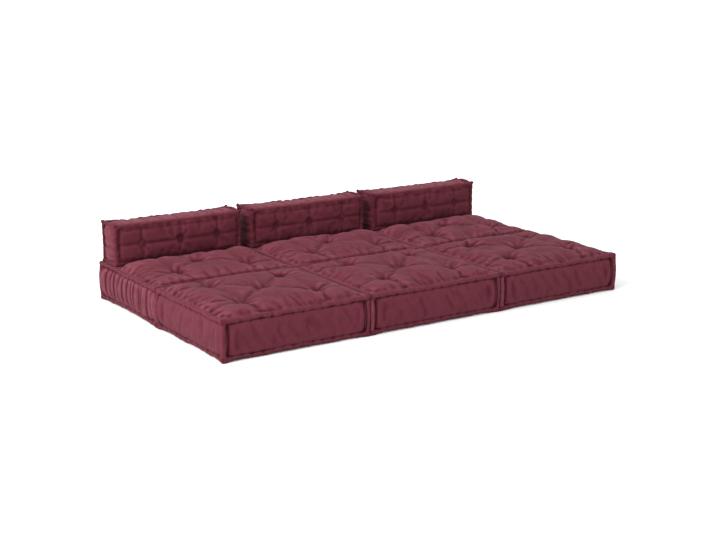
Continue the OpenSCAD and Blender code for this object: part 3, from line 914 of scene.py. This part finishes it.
swell = {
    "quality": 6,
    "mass": 0.30,
    "tension_stiffness": 14,
    "compression_stiffness": 14,
    "shear_stiffness": 6,
    "bending_stiffness": 0.35,
    "pin_stiffness": 1.0,
    "use_pressure": True,
    "vertex_group_mass": "held",
}
swellFrames, cacheFrames = 18, 24


def stiffen(piece, kind):
    group = piece.vertex_groups.new(name="held")
    held = readPoints(piece.data, "held")
    for weight in np.unique(held[held > 0]):
        group.add([int(k) for k in np.where(held == weight)[0]], float(weight), "REPLACE")
    cloth = piece.modifiers.new("pressure", "CLOTH")
    settings = cloth.settings
    for name, value in swell.items():
        setattr(settings, name, value)
    settings.uniform_pressure_force = kind["pressure"]
    settings.shrink_min = settings.shrink_max = kind["slack"]
    settings.effector_weights.gravity = 0
    cloth.collision_settings.use_collision = False
    cloth.point_cache.frame_start, cloth.point_cache.frame_end = 1, cacheFrames


def local(points, cushion):
    ox, oy, oz = cushion["origin"]
    if cushion["put"] is lying:
        return points - np.array([ox, oy, oz])
    return np.stack([points[:, 0] - ox, points[:, 2] - oz, oy - points[:, 1]], 1)


def draftCover(cushion):
    points, faces, attributes = coverMesh(cushion)
    ripple = rippler(cushion["seed"] + 31, 14, 0.025, 0.07)
    shake = 0.0009 * ripple(points[:, 0] + points[:, 2] * 0.7, points[:, 1] + points[:, 2] * 0.4)[:, None]
    mesh = newMesh("draft", points, faces)
    points = points + pointsOf(mesh, "normal") * shake * (1 - attributes["held"])[:, None]
    bpy.data.meshes.remove(mesh)
    cushion["points"] = points
    points = placed(cushion, points)
    cushion["cover"] = newPiece(cushion["name"] + "_cover", points, faces, coverCotton, attributes)


def swellCovers():
    for cushion in cushions:
        stiffen(cushion["cover"], cushion["kind"])
    scene = bpy.context.scene
    scene.frame_start, scene.frame_end = 1, cacheFrames
    for step in range(1, swellFrames + 1):
        scene.frame_set(step)
    graph = bpy.context.evaluated_depsgraph_get()
    for cushion in cushions:
        piece, cap = cushion["cover"], cushion["kind"]["cap"]
        move = local(pointsOf(piece.evaluated_get(graph).data), cushion) - cushion["points"]
        far = np.linalg.norm(move, axis=1)
        eased = cap * np.tanh(far / cap)
        move *= (eased / np.maximum(far, 1e-9) * cushion["give"])[:, None]
        print(cushion["name"], "swelled by up to", round(float(far.max()) * 1000, 1), "mm")
        cushion["points"] = cushion["points"] + move
        piece.modifiers.clear()
        piece.vertex_groups.clear()
    scene.frame_set(1)


def finishCover(cushion):
    kind, piece, points = cushion["kind"], cushion["cover"], cushion["points"]
    clipSides(points, cushion, 0.0025)
    if kind is seatCushion:
        points[:, 2] = np.maximum(points[:, 2], clearOfFloor["cover"])
        if isRear(cushion):
            points[:, 2] = np.minimum(points[:, 2], footLimit(points[:, 1]))
    movePoints(piece.data, placed(cushion, points))
    soften = piece.modifiers.new("soften", "SUBSURF")
    soften.levels = soften.render_levels = 1
    applyAll(piece)
    # painted shade in the cover's valleys and painted highlight on its crests, fine and broad
    fine, broad = kind["foldShade"]
    markFolds(piece, fine)
    markFolds(piece, broad, 28)
    if kind is seatCushion:
        capSides(piece, cushion)
        parts = ("top_panel", "bottom_panel", "side_panels", "filling")
    else:
        parts = ("front_panel", "rear_panel", "border_panels", "filling")
    cushion["shell"] = shellOf(piece, cushion)
    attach(piece, cushion["body"])
    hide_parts(*[cushion["name"] + "_" + part for part in parts])


def shellOf(piece, cushion):
    # points and faces where the threads are sewn, in the cushion's own axes
    return local(pointsOf(piece.data), cushion), [tuple(f.vertices) for f in piece.data.polygons]


def makeCovers():
    for cushion in cushions:
        draftCover(cushion)
    swellCovers()
    for cushion in cushions:
        finishCover(cushion)
    print("covers made:", len(cushions))


makeCovers()


# rolls along the edges, sewn into one frame

def tube(centres, sideways, upwards, radii, around, closed):
    # radii may be one a point, or one a point and angle; an open tube gets a cap at both ends
    count = len(centres)
    angles = np.linspace(0, 2 * math.pi, around, endpoint=False)
    radii = np.asarray(radii)
    if radii.ndim == 1:
        radii = np.repeat(radii[:, None], around, 1)
    points = (centres[:, None] + radii[..., None] * (np.cos(angles)[None, :, None] * sideways[:, None]
              + np.sin(angles)[None, :, None] * upwards[:, None])).reshape(-1, 3)
    loops = np.arange(count * around).reshape(count, around)
    faces = []
    for first, second in zip(loops, loops[1:]):
        faces += between(first, second)
    if closed:
        return points, faces + between(loops[-1], loops[0])
    faces += [tuple(loops[0]), tuple(loops[-1][::-1])]
    return points, [f[::-1] for f in faces]


def lumpFaces(rows, around, flip):
    # quads between rings of points, with a cap at both ends
    loops = np.arange((rows + 1) * around).reshape(rows + 1, around)
    faces = [tuple(loops[0][::-1]), tuple(loops[-1])]
    for first, second in zip(loops, loops[1:]):
        faces += zip(first, np.roll(first, -1), np.roll(second, -1), second)
    return [f[::-1] for f in faces] if flip else faces


def joined(solids):
    # many solids as one mesh
    points, faces, start = [], [], 0
    for some, theirs in solids:
        points.append(some)
        faces += [tuple(k + start for k in f) for f in theirs]
        start += len(some)
    return np.concatenate(points), faces


def edgeRoll(cushion, upper, draw):
    # an unbroken roll round a face, pinched at its stitches
    kind, settings = cushion["kind"], rollSettings
    w, d, _ = kind["size"]
    r = kind["rollWidth"] / 2
    marks = stitchMarks(kind)
    centres, outs, run, total = rollPath(cushion, upper)
    pinch = np.zeros(len(run))
    for mark, deep in zip(marks, draw.uniform(0.55, 1.2, len(marks))):
        gap = np.abs(run - mark)
        gap = np.minimum(gap, total - gap)
        pinch = np.maximum(pinch, deep * bell(gap, settings["bite"]))
    pinch = pinch * (1 - settings["pressed"] * meets(cushion, outs))
    corner = toCorner(centres, w / 2 - r, d / 2 - r)
    plump = 1.02 - settings["pinch"] * pinch * (1 - bell(corner, 0.03)) + 0.10 * bell(corner, 0.035)
    sideways = np.column_stack([outs, np.zeros(len(outs))])
    upwards = np.tile([0.0, 0.0, kind["rollHeight"] / kind["rollWidth"]], (len(outs), 1))
    return tube(centres, sideways, upwards, r * plump, settings["around"], True)


def cornerRoll(cushion, sx, sy, draw):
    # an upright roll that bows out where there is room
    kind, settings = cushion["kind"], rollSettings
    w, d, h = kind["size"]
    r, post = kind["rollWidth"] / 2, kind["cornerRollWidth"] / 2
    inset = 1.06 * post
    zs = np.linspace(r, h - r, int((h - 2 * r) / settings["step"]))
    v = (zs - zs[0]) / (zs[-1] - zs[0])
    stitches = (np.arange(3) + 0.5) / 3 + draw.uniform(-0.04, 0.04, 3)
    pinch = np.max([bell((v - at) * (h - 2 * r), settings["bite"]) for at in stitches], axis=0)
    room = freeCorner(cushion, sx, sy)
    bow = np.sin(math.pi * v) * draw.uniform(0.7, 1.1) * kind["bowShare"]
    bowX, bowY = [bow * (settings["bow"] if free else 0.0008) for free in room]
    centres = np.column_stack([sx * (w / 2 - inset + bowX), sy * (d / 2 - inset + bowY), zs])
    # a little square in section, as it is squeezed between its neighbours
    angles = np.linspace(0, 2 * math.pi, settings["around"], endpoint=False)
    square = (np.abs(np.cos(angles)) ** 3 + np.abs(np.sin(angles)) ** 3) ** (-1 / 3)
    ends = bell(v, 0.16) + bell(1 - v, 0.16)
    tucked = 0.30 if "front" in cushion["name"] and sx > 0 and not room[0] else 0
    radii = post * (1.0 - tucked - 0.10 * pinch + 0.14 * ends)[:, None] * square[None, :]
    sideways, upwards = [np.tile(way, (len(zs), 1)) for way in ([1.0, 0.0, 0.0], [0.0, 1.0, 0.0])]
    return tube(centres, sideways, upwards, radii, settings["around"], False)


def rollFrame(cushion):
    draw = np.random.default_rng(cushion["seed"] + 101)
    solids = [edgeRoll(cushion, upper, draw) for upper in (True, False)]
    for sx in (-1, 1):
        for sy in (-1, 1):
            solids.append(cornerRoll(cushion, sx, sy, draw))
            solids += [ear(cushion, sx, sy, up, draw) for up in (-1, 1)]
    return joined(solids)


def ear(cushion, sx, sy, up, draw):
    # a knot of gathered cloth that points out of the corner
    kind, settings = cushion["kind"], rollSettings
    w, d, h = kind["size"]
    r = kind["rollWidth"] / 2
    long, wide = [settings[name] * r / settings["earRoll"] for name in ("earLength", "earWidth")]
    around, rows = 14, 9
    reach = settings["earReach"] * draw.uniform(0.7, 1.2, 2) if kind is backCushion else -0.001
    reachX, reachY = np.where(freeCorner(cushion, sx, sy), reach, -0.0012)
    axis = np.array([sx, sy, 0.30 * up]) / math.sqrt(2 + 0.09)
    across = np.array([-sy, sx, 0]) / math.sqrt(2)
    rise = np.cross(axis, across)
    tip = np.array([sx * (w / 2 + reachX), sy * (d / 2 + reachY), h / 2 + up * (h / 2 - r * 0.55)])
    folds = draw.uniform(0, 2 * math.pi)
    points = []
    for row in range(rows + 1):
        t = row / rows
        size = wide * math.sin(math.pi * min(1, t * 0.86 + 0.04)) ** 0.45
        centre = tip - axis * long * 2 * (1 - t)
        for k in range(around):
            angle = 2 * math.pi * k / around
            pleat = 1 + 0.16 * math.sin(5 * angle + folds) * t
            points.append(centre + size * pleat * (math.cos(angle) * across + math.sin(angle) * rise))
    points = np.array(points)
    points[:, 2] = np.clip(points[:, 2], clearOfFloor["ears"], h + 0.0016)
    return points, lumpFaces(rows, around, True)


def alongRolls(cushion, points):
    # for the weave and the stitches: running length, angle about the roll, and which roll
    kind = cushion["kind"]
    upper = points[:, 2] > kind["size"][2] / 2
    run, angle, onRing = np.zeros(len(points)), np.zeros(len(points)), np.zeros(len(points), dtype=bool)
    for half in (True, False):
        here = np.where(upper == half)[0]
        centres, outs, running, _ = rollPath(cushion, half)
        index, _ = nearRoll(cushion, points[here, 0], points[here, 1], half)
        off = points[here] - centres[index]
        outward = (off[:, :2] * outs[index]).sum(1)
        rise = off[:, 2] * (1 if half else -1) * kind["rollWidth"] / kind["rollHeight"]
        run[here] = running[index]
        angle[here] = np.arctan2(rise, outward)
        onRing[here] = np.abs(off[:, 2]) < 1.25 * kind["rollHeight"] / 2
    return run, angle, onRing, upper


# change and reach of each painted shade or painted highlight on a roll
rollTones = {
    "floor": (-0.50, 0.009),
    "under": (-0.6, 0.0036),
    "knot": (-0.75, 0.011),
    "rim": (0.30, 0.009),       # painted highlight where two seats meet
    # painted highlight on the lit side of a corner roll between two seats
    "post": (0.55, 0.008),
}
jointReach = (0.0062, 0.0150)   # of the painted shadow line between two seats, side by side and front to rear


def rollShade(cushion, here, run, angle, onRing, upper):
    # painted shade at the stitch dimples, under the roll, at the corner knots and near the floor
    kind = cushion["kind"]
    w, d, h = kind["size"]
    roll = kind["rollWidth"]
    if kind is seatCushion:
        # painted shade, darker towards the floor
        shade = tone(here[:, 2], *rollTones["floor"])
    else:
        # painted shade over a back's rolls, darker on the lower one
        shade = np.where(upper, -0.2, -0.6)
    gap = np.min([np.abs(run - mark) for mark in stitchMarks(kind)], axis=0)
    seam, fold = [np.abs(angle + math.radians(under)) * roll / 2 for under in (62, 82)]
    # painted shadow in the stitch dimples, along the fold under the roll and at the corner knots
    dimple = -0.8 * bell(gap, 0.0095) * bell(seam, 0.0065) * onRing
    line = tone(fold, *rollTones["under"]) * onRing
    knot = tone(toCorner(here, w / 2, d / 2), *rollTones["knot"]) * onRing
    shade = np.min([shade, knot, dimple, line], axis=0)
    if kind is backCushion:
        return shade
    # the seam between two seats gets a painted shadow, with a painted highlight on the roll's rim and on
    # the corner roll beside it
    onTop = np.clip((here[:, 2] - h + 0.018) / 0.006, 0, 1)
    for side, axis, way, half in sidesOf(kind):
        if side not in cushion["free"]:
            inside = half - way * here[:, axis]
            rim = tone(inside - roll, *rollTones["rim"]) * onTop
            post = tone(inside - 0.010, *rollTones["post"]) * (~onRing) * (way < 0)
            shade = np.minimum(shade + rim + post, tone(inside, -1.25, jointReach[axis]) * onTop + 0.6)
    return shade


def makeRolls():
    settings = rollSettings
    for cushion in cushions:
        kind = cushion["kind"]
        points, faces = rollFrame(cushion)
        points = placed(cushion, points)
        piece = newPiece(cushion["name"] + "_rolls", points, faces, rollCotton)
        weld = piece.modifiers.new("weld", "REMESH")
        weld.mode = "VOXEL"
        weld.voxel_size = settings["voxel"]
        weld.use_smooth_shade = True
        soften = piece.modifiers.new("soften", "SMOOTH")
        soften.factor, soften.iterations = 0.5, 3
        applyAll(piece)
        mesh = piece.data
        here = local(pointsOf(mesh), cushion)
        normals = pointsOf(mesh, "normal")
        if cushion["put"] is standing:
            normals = np.stack([normals[:, 0], normals[:, 2], -normals[:, 1]], 1)
        ripple = rippler(cushion["seed"] + 61, 16, 0.010, 0.032)
        gather = ripple(here[:, 0] + here[:, 1] * 0.9, here[:, 2] * 0.5 + here[:, 1] - here[:, 0] * 0.3)
        here = here + normals * (settings["skin"] + settings["gather"] * gather)[:, None]
        clipSides(here, cushion)
        rests = isRear(cushion) & (here[:, 1] > 0.115)
        highest = np.where(rests, settings["underBack"], kind["size"][2] + 0.0012)
        here[:, 2] = np.clip(here[:, 2], clearOfFloor["rolls"], highest)
        run, angle, onRing, upper = alongRolls(cushion, here)
        cloth = np.zeros_like(here)
        cloth[:, 0] = np.where(onRing, run, here[:, 2])
        cloth[:, 1] = angle * np.where(onRing, kind["rollWidth"] / 2, 0.01) + 5.0
        writePoints(mesh, "cloth", cloth)
        movePoints(mesh, placed(cushion, here))
        # painted shade and highlight of the rolls, then painted highlight on their crests and painted shade
        # in their valleys
        writePoints(mesh, "fold", rollShade(cushion, here, run, angle, onRing, upper))
        markFolds(piece, 380, 4)
        mesh.shade_smooth()
        cushion["frame"] = (here, [tuple(f.vertices) for f in mesh.polygons])
        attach(piece, cushion["body"])
        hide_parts(cushion["name"] + "_edge_rolls")
    print("rolls made")


makeRolls()


# stitches: short thread dashes along both sides of each roll

stitchSettings = {"length": 0.0150, "thick": 0.0012, "around": 7, "slant": 0.16}


def dash(centre, along, outward, draw):
    # a short thread, its ends sunk into the cloth
    settings, steps = stitchSettings, 6
    t = np.linspace(-1, 1, steps + 1)
    length = settings["length"] * draw.uniform(0.8, 1.15)
    sink = -0.0016 * np.abs(t) ** 3
    centres = centre + np.outer(t * length / 2, along) + np.outer(sink, outward)
    radii = settings["thick"] * np.sqrt(np.clip(1.06 - t ** 2, 0.02, 1))
    sideways, upwards = [np.tile(way, (steps + 1, 1)) for way in (outward, np.cross(along, outward))]
    return tube(centres, sideways, upwards, radii, settings["around"], False)


def keepInside(points, cushion):
    # a thread between two cushions stays on its own side
    for side, axis, way, half in sidesOf(cushion["kind"]):
        if side not in cushion["free"]:
            over = (way * points[:, axis]).max() - half
            points[:, axis] -= way * max(over, 0)
    return points


def unit(vector):
    return vector / np.linalg.norm(vector)


def sewnSurface(cushion):
    # the cover and its rolls, as one thing to sew through
    points, faces = joined([cushion["shell"], cushion["frame"]])
    return BVHTree.FromPolygons(points.tolist(), faces)


def threadsAt(cushion, surface, upper, centre, out, draw):
    # one stitch under the roll, and one on its inner side or, on the floor, round its belly
    kind = cushion["kind"]
    r, tall, h = kind["rollWidth"] / 2, kind["rollHeight"] / 2, kind["size"][2]
    rise = np.array([0, 0, 1 if upper else -1])
    outward = np.array([*out, 0])
    along = np.array([-out[1], out[0], 0])
    inner = (np.array([*(centre[:2] - out * (r + 0.002)), h / 2]) + rise * (h / 2 + 0.05), -rise)
    seam, belly = [(centre + outward * 0.05 - rise * tall * down, -outward) for down in (0.96, 0.25)]
    for place, towards in (seam, belly if kind is seatCushion and not upper else inner):
        hit, normal, _, _ = surface.ray_cast(Vector(place), Vector(towards), 0.09)
        if hit is None:
            continue
        normal = np.array(normal)
        lean = stitchSettings["slant"] * draw.uniform(0.4, 1.4)
        way = unit(along - normal * (along @ normal)) + lean * np.cross(normal, along)
        way = unit(way)
        normal = unit(np.cross(np.cross(way, normal), way))
        points, faces = dash(np.array(hit) + normal * 0.0002, way, normal, draw)
        yield keepInside(points, cushion), faces


def makeStitches():
    for cushion in cushions:
        draw = np.random.default_rng(cushion["seed"] + 301)
        surface = sewnSurface(cushion)
        threads = []
        for upper in (True, False):
            centres, outs, run, _ = rollPath(cushion, upper)
            for mark in stitchMarks(cushion["kind"]):
                k = int(np.argmin(np.abs(run - mark)))
                threads += threadsAt(cushion, surface, upper, centres[k], outs[k], draw)
        points, faces = joined(threads)
        points[:, 2] = np.maximum(points[:, 2], clearOfFloor["threads"])
        points = placed(cushion, points)
        piece = newPiece(cushion["name"] + "_stitches", points, faces, sewingThread)
        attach(piece, cushion["body"])
    print("stitches made")


makeStitches()


# tufts: a small gathered knot at both ends of each cord

tuftSettings = {"rise": 0.0045, "lobes": 7, "rows": 7, "around": 42, "cord": 0.0015}


def tuftKnot(x, y, z, size, up, seed):
    settings = tuftSettings
    phase = np.random.default_rng(seed).uniform(0, 6.28)
    rows, around = settings["rows"], settings["around"]
    points = []
    for row in range(rows + 1):
        t = row / rows
        for k in range(around):
            angle = 2 * math.pi * k / around
            gather = math.sin(settings["lobes"] * angle + phase)
            lobe = 1 + 0.11 * gather + 0.05 * math.sin(3 * angle + 2 * phase)
            radius = size * math.cos(t * math.pi / 2 * 0.93) ** 0.6 * (1 + (lobe - 1) * (1 - 0.5 * t))
            rise = settings["rise"] * math.sin(t * math.pi / 2) ** 0.8 - 0.0016 * bell(t - 1, 0.30)
            rise += 0.0006 * gather * math.sin(math.pi * t)
            points.append((x + radius * math.cos(angle), y + radius * math.sin(angle), z + up * rise))
    return np.array(points), lumpFaces(rows, around, up < 0)


def makeTufts():
    for cushion in cushions:
        kind, seed = cushion["kind"], cushion["seed"]
        solids = []
        for index, (x, y) in enumerate(kind["tufts"]):
            high = float(faceHeight(cushion, np.array([x * 1.0]), np.array([y * 1.0]))[0])
            low = 0.0052 if kind is seatCushion else kind["size"][2] - high
            solids.append(tuftKnot(x, y, high - 0.0008, kind["knot"], 1, seed + index))
            solids.append(tuftKnot(x, y, low + 0.0006, kind["knot"], -1, seed + index + 20))
            sideways, upwards = [np.tile(way, (2, 1)) for way in ([1.0, 0, 0], [0, 1.0, 0])]
            cord = np.array([[x, y, low], [x, y, high]])
            solids.append(tube(cord, sideways, upwards, np.full(2, tuftSettings["cord"]), 10, False))
        points, faces = joined(solids)
        points = placed(cushion, points)
        piece = newPiece(cushion["name"] + "_tuft_knots", points, faces, tuftCotton)
        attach(piece, cushion["body"])
        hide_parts(cushion["name"] + "_tufts")
    print("tufts made")


makeTufts()


# floor, light and camera

studio = {
    "floorSize": 60,
    "floorColour": (0.88, 0.88, 0.88, 1),
    "sky": 1.22,
    "keyPower": 560,
    "keySize": 4.6,
    "keyFrom": (-6.0, -1.4, 4.2),
    "keyAt": (0, 0, 0.1),
    "cameraAt": (-3.369, -5.059, 1.602),
    "cameraTurn": (76.27, 0, -33.53),
    "lens": 67.2,
}


def makeFloor():
    material, _, shader = newMaterial("studio_white")
    feed(None, shader, {"Base Color": studio["floorColour"], "Roughness": 1.0, "Specular IOR Level": 0.0})
    size = studio["floorSize"]
    points = [(sx * size, sy * size, 0) for sx, sy in ((-1, -1), (1, -1), (1, 1), (-1, 1))]
    newPiece("studio_floor", points, [(0, 1, 2, 3)], material)


def makeStudio():
    scene = bpy.context.scene
    makeFloor()
    world = bpy.data.worlds.new("studio_sky")
    world.use_nodes = True
    feed(None, world.node_tree.nodes["Background"], {"Color": (1, 1, 1, 1), "Strength": studio["sky"]})
    scene.world = world

    lamp = bpy.data.lights.new("key_softbox", "AREA")
    lamp.shape, lamp.size, lamp.energy = "SQUARE", studio["keySize"], studio["keyPower"]
    key = bpy.data.objects.new("key_softbox", lamp)
    key.location = studio["keyFrom"]
    aim = Vector(studio["keyAt"]) - Vector(studio["keyFrom"])
    key.rotation_euler = aim.to_track_quat("-Z", "Y").to_euler()
    scene.collection.objects.link(key)

    lens = bpy.data.cameras.new("product_camera")
    lens.lens, lens.sensor_width = studio["lens"], 36
    lens.clip_end = 200
    camera = bpy.data.objects.new("product_camera", lens)
    camera.location = studio["cameraAt"]
    camera.rotation_euler = [math.radians(a) for a in studio["cameraTurn"]]
    scene.collection.objects.link(camera)
    scene.camera = camera
    scene.view_settings.view_transform = "Standard"
    scene.view_settings.look = "None"
    print("studio made")


makeStudio()
